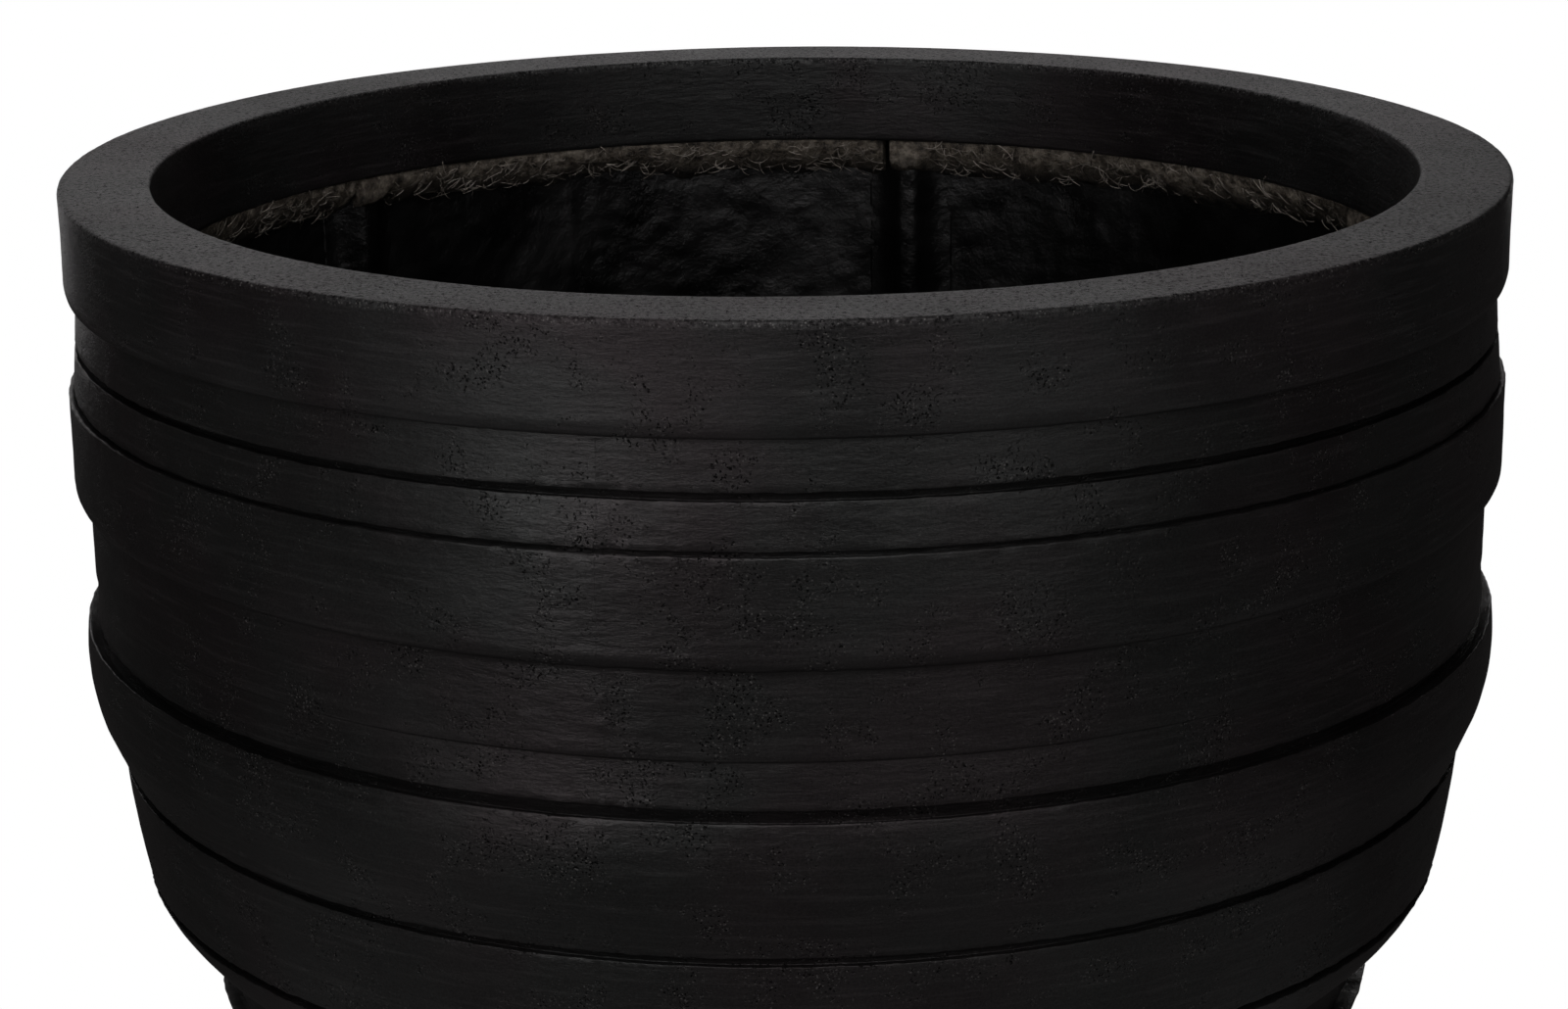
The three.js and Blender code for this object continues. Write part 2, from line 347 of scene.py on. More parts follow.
def blend_colours(material, factor, factor_output, first, second, mode="MIX", amount=None):
    """Mixes two colours, each a node's output or a fixed colour."""
    node = add_node(material, "ShaderNodeMix")
    node.data_type = "RGBA"
    node.blend_type = mode
    if factor is None:
        node.inputs[0].default_value = amount
    else:
        link(material, factor, factor_output, node, 0)
    for socket, value in ((6, first), (7, second)):
        if isinstance(value, tuple) and not hasattr(value[0], "outputs"):
            node.inputs[socket].default_value = (*value, 1)
        else:
            link(material, value[0], value[1], node, socket)
    return node


def bump(material, shader, height, output, strength, distance, below_it=None):
    node = add_node(material, "ShaderNodeBump")
    node.inputs["Strength"].default_value = strength
    node.inputs["Distance"].default_value = distance
    link(material, height, output, node, "Height")
    if below_it is not None:
        link(material, below_it, "Normal", node, "Normal")
    link(material, node, "Normal", shader, "Normal")
    return node


def product(material, first, first_output, second, second_output):
    node = add_node(material, "ShaderNodeMath", operation="MULTIPLY")
    link(material, first, first_output, node, 0)
    link(material, second, second_output, node, 1)
    return node


def dots(material, where, scale, small, large):
    """Round spots, 1 inside and 0 outside, on an irregular lattice."""
    cells = add_node(material, "ShaderNodeTexVoronoi")
    cells.inputs["Scale"].default_value = scale
    link(material, where, "Vector", cells, "Vector")
    return span(material, cells, "Distance", small, large, 1.0, 0.0)


def wobbled(material, where, scale, reach):
    """The same coordinates pushed about by noise, so that round spots turn out irregular."""
    push = noise(material, where, scale, 3.0)
    node = add_node(material, "ShaderNodeVectorMath", operation="MULTIPLY_ADD")
    link(material, push, "Color", node, 0)
    node.inputs[1].default_value = (reach, reach, reach)
    link(material, where, "Vector", node, 2)
    return node


def cement(name, dark, light, roughness):
    """Black cement composite: level trowel streaks, clouds, patches of pits and light sand.

    The rim's flat top, the only part near the full height, is sanded back to a coarser grain.
    """
    material, shader = new_material(name, dark, roughness)
    plain = places(material)
    level = places(material, (1, 1, 22))
    flat = places(material, (1, 1, 3))
    uneven = wobbled(material, plain, 420.0, 0.003)
    clouds = noise(material, plain, 6.0, 6.0, 0.62)
    streaks = noise(material, level, 13.0, 6.0, 0.65)
    grain = noise(material, plain, 620.0, 5.0, 0.75)
    coarse = noise(material, plain, 290.0, 6.0, 0.8)
    patches = noise(material, plain, 26.0, 6.0, 0.74)
    warmth = noise(material, plain, 7.0, 3.0)
    filler = noise(material, flat, 34.0, 5.0, 0.72)
    height = add_node(material, "ShaderNodeSeparateXYZ")
    link(material, plain, "Vector", height, "Vector")
    sanded = span(material, height, "Z", 0.693, 0.698, 0.0, 1.0)

    # Clouds, streaks and smears of paler paste.
    tone = ramp(material, clouds, "Fac", [(0.36, dark), (0.66, light)])
    pale = tuple(channel * 2.6 for channel in light)
    streaky = span(material, streaks, "Fac", 0.50, 0.80, 0.0, 0.75)
    colour = blend_colours(material, streaky, "Result", (tone, "Color"), pale)
    tint = ramp(material, warmth, "Fac", [(0.44, (0.97, 1.0, 0.985)), (0.60, (1.0, 0.91, 0.93))])
    colour = blend_colours(material, None, "", (colour, 2), (tint, "Color"), "MULTIPLY", 1.0)
    link(material, tint, "Color", shader, "Specular Tint")
    smears = span(material, filler, "Fac", 0.66, 0.74, 0.0, 0.6)
    colour = blend_colours(material, smears, "Result", (colour, 2), FILLER)

    # Sand grains stand in the paste where it is worn, and all over the sanded top.
    worn = span(material, patches, "Fac", 0.50, 0.62, 0.0, 0.45)
    bare = span(material, sanded, "Result", 0.0, 1.0, 0.0, 0.75)
    share = add_node(material, "ShaderNodeMath", operation="MAXIMUM")
    link(material, worn, "Result", share, 0)
    link(material, bare, "Result", share, 1)
    sand = product(material, dots(material, plain, 400.0, 0.14, 0.30), "Result", share, "Value")
    colour = blend_colours(material, sand, "Value", (colour, 2), SAND)

    # Air bubbles leave pits, mostly in the same patches; their near-black colour is painted shade.
    pitted = span(material, patches, "Fac", 0.51, 0.60, 0.0, 0.85)
    small_pits = product(material, dots(material, uneven, 430.0, 0.18, 0.34), "Result", pitted, "Result")
    large_pits = product(material, dots(material, uneven, 165.0, 0.08, 0.16), "Result", pitted, "Result")
    pits = add_node(material, "ShaderNodeMath", operation="MAXIMUM")
    link(material, small_pits, "Value", pits, 0)
    link(material, large_pits, "Value", pits, 1)
    colour = blend_colours(material, pits, "Value", (colour, 2), PIT_SHADE)
    link(material, colour, 2, shader, "Base Color")

    # The sheen is broken up by the grain and gone in the pits.
    fine_sheen = span(material, grain, "Fac", 0.36, 0.64, 0.28, 0.56)
    coarse_sheen = span(material, coarse, "Fac", 0.40, 0.60, 0.0, 0.9)
    sheen = add_node(material, "ShaderNodeMix")
    link(material, sanded, "Result", sheen, 0)
    link(material, fine_sheen, "Result", sheen, 2)
    link(material, coarse_sheen, "Result", sheen, 3)
    sunk = span(material, pits, "Value", 0.0, 1.0, 1.0, 0.0)
    broken = product(material, sheen, 0, sunk, "Result")
    link(material, broken, "Value", shader, "Specular IOR Level")
    first = bump(material, shader, sunk, "Result", 0.8, 0.0012)
    second = bump(material, shader, grain, "Fac", 0.15, 0.0006, first)
    third = bump(material, shader, filler, "Fac", 0.3, 0.0030, second)
    fourth = bump(material, shader, streaks, "Fac", 0.10, 0.0014, third)
    # Only the sanded top takes the coarse relief.
    rough_top = bump(material, shader, coarse, "Fac", 0.0, 0.0014, fourth)
    relief = span(material, sanded, "Result", 0.0, 1.0, 0.0, 0.5)
    link(material, relief, "Result", rough_top, "Strength")
    rough = span(material, clouds, "Fac", 0.3, 0.7, roughness - 0.07, roughness + 0.07)
    link(material, rough, "Result", shader, "Roughness")
    return material


def laminate_material():
    """Black resin over glass cloth: wet and wrinkled, with a few strands showing through."""
    material, shader = new_material("black_laminate", (0.003, 0.003, 0.003), 0.25)
    plain = places(material)
    clouds = noise(material, plain, 14.0, 5.0, 0.6)
    strands = noise(material, plain, 170.0, 5.0, 0.7)
    weave = noise(material, plain, 55.0, 6.0, 0.65)
    tone = ramp(material, clouds, "Fac", [(0.35, (0.002, 0.002, 0.002)), (0.7, RESIN_AND_SHADE_BLACK)])
    link(material, tone, "Color", shader, "Base Color")
    rough = span(material, clouds, "Fac", 0.35, 0.65, 0.24, 0.42)
    link(material, rough, "Result", shader, "Roughness")
    sheen = span(material, clouds, "Fac", 0.35, 0.65, 0.34, 0.46)
    link(material, sheen, "Result", shader, "Specular IOR Level")
    first = bump(material, shader, weave, "Fac", 0.30, 0.004)
    bump(material, shader, strands, "Fac", 0.55, 0.0014, first)
    return material


def strand_material():
    """Matted chopped glass in brown and grey resin, half wetted with the black paste, and darkened along
    its lower edge by painted shade.
    """
    material, shader = new_material("raw_strand", (0.04, 0.032, 0.025), 0.38)
    plain = places(material)
    clouds = noise(material, plain, 110.0, 6.0, 0.7)
    matted = noise(material, plain, 260.0, 6.0, 0.75)
    fine = noise(material, plain, 420.0, 4.0, 0.7)
    tone = ramp(material, clouds, "Fac", [
        (0.36, (0.014, 0.012, 0.010)), (0.48, (0.11, 0.091, 0.070)), (0.64, (0.34, 0.30, 0.245))])
    threads = span(material, matted, "Fac", 0.50, 0.70, 0.0, 0.8)
    colour = blend_colours(material, threads, "Result", (tone, "Color"), SHINY_STRAND)

    # Painted shade: the lower edge, where the fillet turns under, is darkened towards black in blotches.
    low = add_node(material, "ShaderNodeSeparateXYZ")
    link(material, plain, "Vector", low, "Vector")
    nearness = span(material, low, "Z", 0.603, 0.622, 1.0, 0.0)
    blotches = span(material, clouds, "Fac", 0.40, 0.52, 0.45, 1.0)
    painted_lower_shade = product(material, nearness, "Result", blotches, "Result")
    colour = blend_colours(material, painted_lower_shade, "Value", (colour, 2), RESIN_AND_SHADE_BLACK)
    link(material, colour, 2, shader, "Base Color")
    first = bump(material, shader, clouds, "Fac", 0.6, 0.004)
    second = bump(material, shader, matted, "Fac", 0.8, 0.0022, first)
    bump(material, shader, fine, "Fac", 0.7, 0.0010, second)
    return material


def glass_material():
    """The single strands that stand out of the resin and catch the light."""
    material, shader = new_material("glass_strand", (0.10, 0.09, 0.075), 0.25)
    plain = places(material)
    clouds = noise(material, plain, 60.0, 3.0)
    tone = ramp(material, clouds, "Fac", [(0.35, (0.06, 0.05, 0.04)), (0.65, (0.55, 0.50, 0.44))])
    link(material, tone, "Color", shader, "Base Color")
    return material


def moulded(name, colour, roughness):
    """Moulded rubber or plastic with a fine grain and dusty clouds."""
    material, shader = new_material(name, colour, roughness)
    plain = places(material)
    clouds = noise(material, plain, 60.0, 4.0)
    grain = noise(material, plain, 600.0, 2.0)
    lighter = tuple(min(1.0, channel * 1.8 + 0.004) for channel in colour)
    tone = ramp(material, clouds, "Fac", [(0.4, colour), (0.75, lighter)])
    link(material, tone, "Color", shader, "Base Color")
    bump(material, shader, grain, "Fac", 0.25, 0.0003)
    return material


def steel_material():
    material, shader = new_material("stainless_wire", (0.55, 0.55, 0.56), 0.3, 1.0)
    plain = places(material)
    scratches = noise(material, plain, 700.0, 3.0)
    rough = span(material, scratches, "Fac", 0.3, 0.7, 0.22, 0.42)
    link(material, rough, "Result", shader, "Roughness")
    bump(material, shader, scratches, "Fac", 0.12, 0.0002)
    return material


def foam_material():
    material, shader = new_material("rigid_foam", (0.48, 0.42, 0.24), 0.9)
    plain = places(material)
    cells = noise(material, plain, 500.0, 3.0)
    bump(material, shader, cells, "Fac", 0.5, 0.0006)
    tone = ramp(material, cells, "Fac", [(0.3, (0.40, 0.34, 0.19)), (0.7, (0.52, 0.46, 0.27))])
    link(material, tone, "Color", shader, "Base Color")
    return material


FACING = cement("facing_cement", (0.0062, 0.0060, 0.0060), (0.0105, 0.0101, 0.0101), 0.40)
RIM = cement("rim_cement", (0.0075, 0.0071, 0.0073), (0.0150, 0.0142, 0.0145), 0.42)
BLACK_LAMINATE = laminate_material()
RAW_STRAND = strand_material()
GLASS = glass_material()
RUBBER = moulded("black_rubber", (0.010, 0.010, 0.010), 0.62)
BUSH_PLASTIC = moulded("grey_plastic", (0.040, 0.042, 0.045), 0.45)
STEEL = steel_material()
FOAM = foam_material()


# ---------------------------------------------------------------- pieces

def turn_section(name, section, angles, closed, shape=None):
    """A closed section of [radius, height] turned through the angles, in degrees.

    shape moves the points: it takes radius, height and angle arrays and returns new radii
    and heights.
    """
    loop = np.array(section, float)
    area = np.sum(loop[:, 0] * np.roll(loop[:, 1], -1) - np.roll(loop[:, 0], -1) * loop[:, 1])
    if area < 0:
        loop = loop[::-1]
    angle = np.radians(np.array(angles, float))[:, None]
    radius = np.broadcast_to(loop[None, :, 0], (len(angles), len(loop)))
    height = np.broadcast_to(loop[None, :, 1], (len(angles), len(loop)))
    if shape:
        radius, height = shape(radius, height, angle + np.zeros_like(radius))
    vertices = np.stack([radius * np.cos(angle), radius * np.sin(angle), height], -1)
    faces = grid_faces(len(angles), len(loop), closed, True)
    ends = 0
    if not closed:
        faces += end_faces(len(angles), len(loop))
        ends = 2
    return new_object(name, vertices.reshape(-1, 3) * MM, faces, flat_last=ends)


def hand_made(height, angle):
    """How far a hand-finished round wall is from true, in millimetres."""
    x, y = np.cos(angle) * 500, np.sin(angle) * 500
    slow = 0.7 * value_noise(x / 260, y / 260, height / 120, 3)
    medium = 0.35 * value_noise(x / 60, y / 60, height / 26, 4)
    fine = 0.12 * value_noise(x / 14, y / 14, height / 5, 5)
    return slow + medium + fine


def finish_piece(piece, slot, material, *nodes):
    piece.data.materials.append(material)
    if nodes:
        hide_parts(*nodes)
    return piece


def seam_bumps(radius, height, angle):
    """The filled joint between the halves: a low ridge broken by sanded bumps."""
    total = np.zeros_like(radius)
    for seam in (FRONT_SEAM, BACK_SEAM):
        across = (np.degrees(angle) - seam + 180) % 360 - 180
        across = across * math.pi / 180 * radius
        centre = 2.0 * value_noise(height / 25, height * 0, height * 0, 11)
        ridge = np.exp(-((across - centre) / 4.5) ** 2)
        lumps = np.clip(value_noise(height / 7, height * 0 + seam, height * 0, 12), 0, 1)
        total = total + ridge * (0.06 + 0.5 * lumps)
    return total


def lip_noise(angle, height, seed):
    """Ragged edges of the crevices, from about -1.6 to 1.6."""
    x, y = np.cos(angle) * 500, np.sin(angle) * 500
    fine = value_noise(x / 5, y / 5, height / 3, seed)
    broad = value_noise(x / 17, y / 17, height / 9, seed + 1)
    return fine + 0.6 * broad


# How far below the rim the edges of the crevices and bands lie.
LIP_DEPTHS = (102.3, 107.3, 136.8, 138.6, 209, 296.5, 302, 395.3, 400.3, 478, 483.5, 541, 570.5, 575.5)


def wall_shape(radius, height, angle):
    """Moves only the outer face, for handmade waves, rough lips and the filled seams."""
    outer = np.clip((radius - inside_radius(height) - LAMINATE - 2) / 4, 0, 1)
    near_lip = np.zeros_like(radius)
    for depth in LIP_DEPTHS:
        near_lip = np.maximum(near_lip, np.exp(-((height - below(depth)) / 2.2) ** 2))
    rough = near_lip * 0.55 * lip_noise(angle, height, 21)
    drift = 0.8 * value_noise(np.cos(angle) * 2.2, np.sin(angle) * 2.2, height * 0.006, 8)
    moved = hand_made(height, angle) + rough + seam_bumps(radius, height, angle)
    under_rim = height > below(RIM_DROP - 3)
    moved = np.where(under_rim, np.minimum(moved, 0) * 0.3, moved)
    uneven = drift + 0.4 * near_lip * lip_noise(angle, height, 31)
    return radius + outer * moved, height + outer * uneven


def half_turn(start, step):
    """Angles through 180 degrees, much closer together beside the seams."""
    near = np.arange(0, 2.4, 0.12)
    far = np.linspace(2.4, 177.6, round(175.2 / step) + 1)
    return start + np.concatenate([[-0.02], near, far, 180 - near[::-1], [180.02]])


def facing_half(name, start, node, step):
    outer = spaced(rounded(wall_outline(), 0.8, 2), 4.0)
    inner = [[radius + LAMINATE + 0.6, height] for radius, height in inside_outline()][::-1]
    inner[0][1] = FOOT_TOP + 0.5
    angles = half_turn(start, step)
    piece = turn_section(name, outer + inner, angles, False, wall_shape)
    return finish_piece(piece, "facing", FACING, node)


def rim_outline():
    """The rim's section: a skirt over the wall, the flat top, and the return inside."""
    mouth = RIM_RADIUS - RIM_WIDTH
    return [
        [488.2, below(RIM_DROP) + 3],
        [491, below(RIM_DROP)],
        [494, below(RIM_DROP - 2)],
        [495.7, below(RIM_DROP - 8)],
        [495.5, below(30)],
        [RIM_RADIUS, HEIGHT],
        [mouth, HEIGHT],
        [mouth - 0.5, below(30)],
        [mouth, below(RIM_RETURN)],
        [mouth + 8, below(RIM_RETURN)],
        [mouth + RIM_SKIN, below(RIM_RETURN) + 2],
        [mouth + RIM_SKIN, below(RIM_SKIN)],
        [488.2, below(RIM_SKIN)],
    ]


def rim_shape(radius, height, angle):
    middle = RIM_RADIUS - RIM_WIDTH / 2
    shown = (radius > 489) | (radius < 443) | (height > HEIGHT - 3)
    edge = np.exp(-((height - HEIGHT) / 3) ** 2) * (np.abs(radius - middle) > 27)
    waves = 0.55 * hand_made(height, angle)
    rough = 0.25 * edge * lip_noise(angle, radius, 41)
    outward = np.where(radius > middle, 1.0, -1.0)
    level = 0.35 * value_noise(np.cos(angle) * 3, np.sin(angle) * 3, radius * 0.01, 42)
    flat = height > HEIGHT - 3
    new_radius = radius + np.where(shown, outward * (waves - 0.6) + rough, 0)
    return new_radius, height + np.where(flat, level - 0.4, 0)


def make_rim(step):
    section = spaced(rounded(rim_outline(), 3.0, 4, True), 4.5)
    angles = np.arange(0, 360, step) + FRONT_SEAM
    piece = turn_section("rim_cap", section, angles, True, rim_shape)
    return finish_piece(piece, "rim", RIM, "rim_ring")


def wrinkles(x, y, height, seed):
    """Folds and lumps of wetted cloth, in millimetres."""
    warp = 9 * value_noise(x / 40, y / 40, height / 40, seed)
    lumps = 1.0 * fractal(x + warp, y - warp, height + warp, 34, 4, seed + 1)
    ridged = 1 - np.abs(fractal(x - warp, y + warp, height * 1.4, 24, 3, seed + 7))
    return lumps + 1.3 * np.clip(ridged, 0, 1) ** 3


def laminate_shape(radius, height, angle):
    inner = np.clip((inside_radius(height) + 2.4 - radius) / 2, 0, 1)
    x, y = np.cos(angle) * 460, np.sin(angle) * 460
    return radius - inner * wrinkles(x, y, height, 51), height


def laminate_half(name, start, node, step):
    inner = spaced(inside_outline(), 5.0)
    outer = [[radius + LAMINATE - 0.4, height] for radius, height in inside_outline()][::-1]
    angles = np.linspace(start, start + 180, round(180 / step) + 1)
    piece = turn_section(name, inner + outer, angles, False, laminate_shape)
    return finish_piece(piece, "laminate", BLACK_LAMINATE, node)


def rib_piece(number):
    """A rib glassed onto the wall: a round-shouldered swelling with flanged edges."""
    angle = math.radians(BACK_SEAM + (number - 1) * RIB_PITCH)
    out = np.array([math.cos(angle), math.sin(angle)])
    across = np.array([-out[1], out[0]])
    heights = np.linspace(below(RIM_RETURN) - 1.5, RIB_FOOT, 150)
    side = np.linspace(-1, 1, 41)
    sides = side * RIB_HALF_WIDTH
    profile = RIB_DEPTH / (1 + np.abs(sides / 15.5) ** 3.6) + 1.2 * (1 - np.abs(side))
    rows = []
    for height in heights:
        wall = inside_radius(height)
        lift = profile * np.clip((height - RIB_FOOT) / 45, 0, 1) ** 0.5
        x, y = out[0] * 460 + across[0] * sides, out[1] * 460 + across[1] * sides
        lumps = wrinkles(x, y, np.full_like(x, height), 60 + number)
        swell = np.clip(lift / 8, 0.25, 1)
        reach = np.sqrt(wall ** 2 - sides ** 2) - lift - lumps * (0.35 + 0.3 * swell) + 0.5
        points = out[None] * reach[:, None] + across[None] * sides[:, None]
        rows.append(np.concatenate([points, np.full((len(side), 1), height)], 1))
    front = np.array(rows)
    back = front.copy()
    for index, height in enumerate(heights):
        reach = np.sqrt(inside_radius(height) ** 2 - sides ** 2) + 1.5
        back[index, :, :2] = out[None] * reach[:, None] + across[None] * sides[:, None]
    loops = np.concatenate([front, back[:, ::-1]], 1)
    faces = grid_faces(len(heights), loops.shape[1], False, True)
    faces += end_faces(len(heights), loops.shape[1])
    piece = new_object(f"glassed_rib_{number}", loops.reshape(-1, 3) * MM, faces, flat_last=2)
    return finish_piece(piece, "laminate", BLACK_LAMINATE, f"rib_{number}", f"rib_core_{number}")


def fillet_shape(radius, height, angle):
    """Lumpy, with a ragged lower edge, and carried out over the tops of the ribs."""
    top = below(RIM_RETURN)
    shown = np.clip((455 + (top - height) * 0.2 - radius) / 5, 0, 1)
    x, y = np.cos(angle) * 450, np.sin(angle) * 450
    lumps = 2.6 * fractal(x, y, height, 22, 4, 71)
    ragged = 5.0 * fractal(x, y, height * 0, 40, 4, 75)
    low = np.clip((top - 8 - height) / 16, 0, 1)
    from_rib = (np.degrees(angle) - BACK_SEAM + RIB_PITCH / 2) % RIB_PITCH - RIB_PITCH / 2
    from_rib = np.abs(from_rib) * math.pi / 180 * 450
    carried = 15 * np.exp(-(from_rib / 17) ** 4) * np.clip((top - height) / 12, 0, 1)
    behind_rim = FILLET_NOSE - 1 + 0.8 * lip_noise(angle, height, 77)
    return np.maximum(radius - shown * (lumps + carried), behind_rim), height + low * ragged


def fillet_piece(number, step):
    top = below(RIM_RETURN) - 0.5
    section = [
        [FILLET_NOSE, top],
        [439.5, top - 7],
        [444.5, top - 14],
        [451.5, top - 21],
        [458.5, top - 27],
        [464.5, top - 32],
        [464.8, top - 24],
        [464.8, top],
    ]
    # A narrow gap stays open on one side of each rib.
    start = BACK_SEAM + (number - 1) * RIB_PITCH + 2.5
    end = start + RIB_PITCH - 0.8
    angles = np.linspace(start, end, round((end - start) / step) + 1)
    piece = turn_section(f"raw_fillet_{number}", spaced(section, 2.5), angles, False, fillet_shape)
    return finish_piece(piece, "strand", RAW_STRAND, f"rim_fillet_{number}")


def strands_on(number):
    """Chopped strands lying on a fillet, each a bent four-sided thread 8 to 20 mm long."""
    rng = np.random.default_rng(900 + number)
    vertices = []
    faces = []
    start = BACK_SEAM + (number - 1) * RIB_PITCH + 3
    for _ in range(STRANDS):
        angle = math.radians(start + rng.uniform(0, RIB_PITCH - 6))
        share = rng.uniform(0.0, 1.0) ** 0.8
        base_radius = FILLET_NOSE - 2 + 22 * share ** 1.3
        base_height = below(RIM_RETURN) - 3 - 26 * share
        out = np.array([math.cos(angle), math.sin(angle), 0.0])
        along = np.array([-math.sin(angle), math.cos(angle), 0.0])
        slope = np.array([out[0] * 0.45, out[1] * 0.45, -0.89])
        normal = np.array([-out[0] * 0.89, -out[1] * 0.89, -0.45])
        lean = rng.uniform(-1.3, 1.3)
        heading = along * math.cos(lean) + slope * math.sin(lean)
        aside = np.cross(normal, heading)
        length = rng.uniform(8, 20)
        curl = rng.normal(0, 2.2)
        lift = rng.uniform(-0.4, 1.0)
        centre = out * base_radius + np.array([0, 0, base_height]) + normal * lift
        thick = rng.uniform(0.15, 0.40)
        first = len(vertices)
        steps = 6
        for step in range(steps + 1):
            t = step / steps - 0.5
            spine = centre + heading * length * t + aside * curl * (4 * t * t - 0.5)
            spine = spine - normal * 1.5 * (2 * t) ** 2
            for corner in range(4):
                turn = TURN * corner / 4
                vertices.append(spine + (aside * math.cos(turn) + normal * math.sin(turn)) * thick)
        for step in range(steps):
            for corner in range(4):
                beside = (corner + 1) % 4
                low = first + step * 4
                faces.append((low + corner, low + beside, low + 4 + beside, low + 4 + corner))
        faces.append((first + 3, first + 2, first + 1, first))
        last = first + steps * 4
        faces.append((last, last + 1, last + 2, last + 3))
    piece = new_object(f"chopped_strands_{number}", np.array(vertices) * MM, faces)
    return finish_piece(piece, "strand", GLASS)


def base_piece(step):
    """The laminated floor, coved up to the wall, with the drain's hole."""
    edge = inside_radius(FLOOR_TOP + 18) + 1.5
    section = [
        [DRAIN_RADIUS, FOOT_TOP + 1],
        [309, FOOT_TOP + 1],
        [inside_radius(FLOOR_TOP) + 1, FLOOR_TOP],
        [edge, FLOOR_TOP + 18],
        [edge - 6, FLOOR_TOP + 9],
        [edge - 18, FLOOR_TOP + 2.5],
        [edge - 36, FLOOR_TOP],
        [DRAIN_RADIUS, FLOOR_TOP],
    ]

    def shape(radius, height, angle):
        top = (height > FLOOR_TOP - 1) & (radius > 45)
        x, y = radius * np.cos(angle), radius * np.sin(angle)
        lumps = 0.45 * wrinkles(x, y, height * 0 + 20, 81) * np.clip((radius - 45) / 20, 0, 1)
        return radius, height + np.where(top, lumps, 0)

    angles = np.arange(0, 360, step)
    piece = turn_section("laminated_floor", spaced(section, 6.0), angles, True, shape)
    return finish_piece(piece, "laminate", BLACK_LAMINATE, "base_disc")


def notch_depth(angle):
    """How far each drain notch rises into the plinth ring."""
    pitch = 90.0
    across = (np.degrees(angle) - FRONT_SEAM - 3.75 + pitch / 2) % pitch - pitch / 2
    reach = np.abs(across) * math.pi / 180 * 306
    return 12 * np.clip((24 - reach) / 3, 0, 1)


def foot_piece(step):
    section = rounded([[286.5, 0], [321.5, 0], [325.5, 5], [327.5, FOOT_TOP], [290, FOOT_TOP]],
                      2.0, 3, True)

    def shape(radius, height, angle):
        share = np.clip(1 - height / 14, 0, 1)
        lifted = height + notch_depth(angle) * share
        waves = 0.4 * hand_made(height, angle)
        outer = (radius > 318) & (height > 2)
        return radius + np.where(outer, waves - 0.4, 0), lifted

    angles = np.arange(0, 360, step)
    piece = turn_section("plinth_ring", spaced(section, 3.0), angles, True, shape)
    return finish_piece(piece, "facing", FACING, "foot_ring")


def lathe_piece(name, section, slot, material, body, step, *nodes):
    angles = np.arange(0, 360, step)
    piece = turn_section(name, spaced(rounded(section, 0.8, 3, True), 2.5), angles, True)
    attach(piece, body)
    return finish_piece(piece, slot, material, *nodes)


def bush_piece(step):
    """The flanged plastic sleeve, its flange chamfered round the outer edge."""
    seat = FLOOR_TOP + 0.3
    section = [
        [20.5, FOOT_TOP - 3.7],
        [24.7, FOOT_TOP - 3.7],
        [24.7, seat],
        [38, seat],
        [38, seat + 2.6],
        [36.5, seat + 4],
        [20.5, seat + 4],
    ]
    lathe_piece("bush_sleeve", section, "bush", BUSH_PLASTIC, "tub", step, "drain_bush")


def bung_piece(step):
    """The tapered rubber plug, with two sealing ribs and a dished head."""
    section = [
        [0.02, BUNG_SEAT - 27],
        [17.5, BUNG_SEAT - 27],
        [18.6, BUNG_SEAT - 22],
        [19.9, BUNG_SEAT - 20.5],
        [18.9, BUNG_SEAT - 18.5],
        [19.2, BUNG_SEAT - 12],
        [20.1, BUNG_SEAT - 10.5],
        [19.4, BUNG_SEAT - 8.5],
        [20.0, BUNG_SEAT],
        [29, BUNG_SEAT],
        [29, BUNG_SEAT + 4],
        [27, BUNG_SEAT + 6],
        [22, BUNG_SEAT + 6],
        [20.5, BUNG_SEAT + 5.2],
        [13, BUNG_SEAT + 5.2],
        [12, BUNG_SEAT + 5.6],
        [0.02, BUNG_SEAT + 5.6],
    ]
    lathe_piece("bung_plug", section, "rubber", RUBBER, "bung", step, "drain_bung")


def lug_piece():
    """The rubber lug on the bung's head, with a round hole for the ring."""
    hole = 3.7
    around = np.radians(np.arange(0, 360, 7.5))
    outline = []
    for angle in around:
        reach = 8.0
        if math.sin(angle) < 0:
            drop = RING_HEIGHT - BUNG_SEAT - 5.0
            flare = 9.0 / max(abs(math.cos(angle)), 1e-6)
            reach = min(drop / abs(math.sin(angle)), max(8.0, min(flare, 14.0)))
        outline.append([reach * math.cos(angle), reach * math.sin(angle)])
    outer = np.array(outline)
    edge = np.stack([np.cos(around), np.sin(around)], -1)
    loops = [(edge * hole, -3.0), (edge * (hole + 0.8), -4.0), (outer * 0.94, -4.0), (outer, -3.2),
             (outer, 3.2), (outer * 0.94, 4.0), (edge * (hole + 0.8), 4.0), (edge * hole, 3.0)]
    vertices = []
    for points, depth in loops:
        vertices.append(np.stack([points[:, 0], np.full(len(around), depth),
                                  RING_HEIGHT + points[:, 1]], -1))
    faces = grid_faces(len(loops), len(around), True, True)
    piece = new_object("bung_lug", np.concatenate(vertices) * MM, faces, "bung")
    return finish_piece(piece, "rubber", RUBBER)


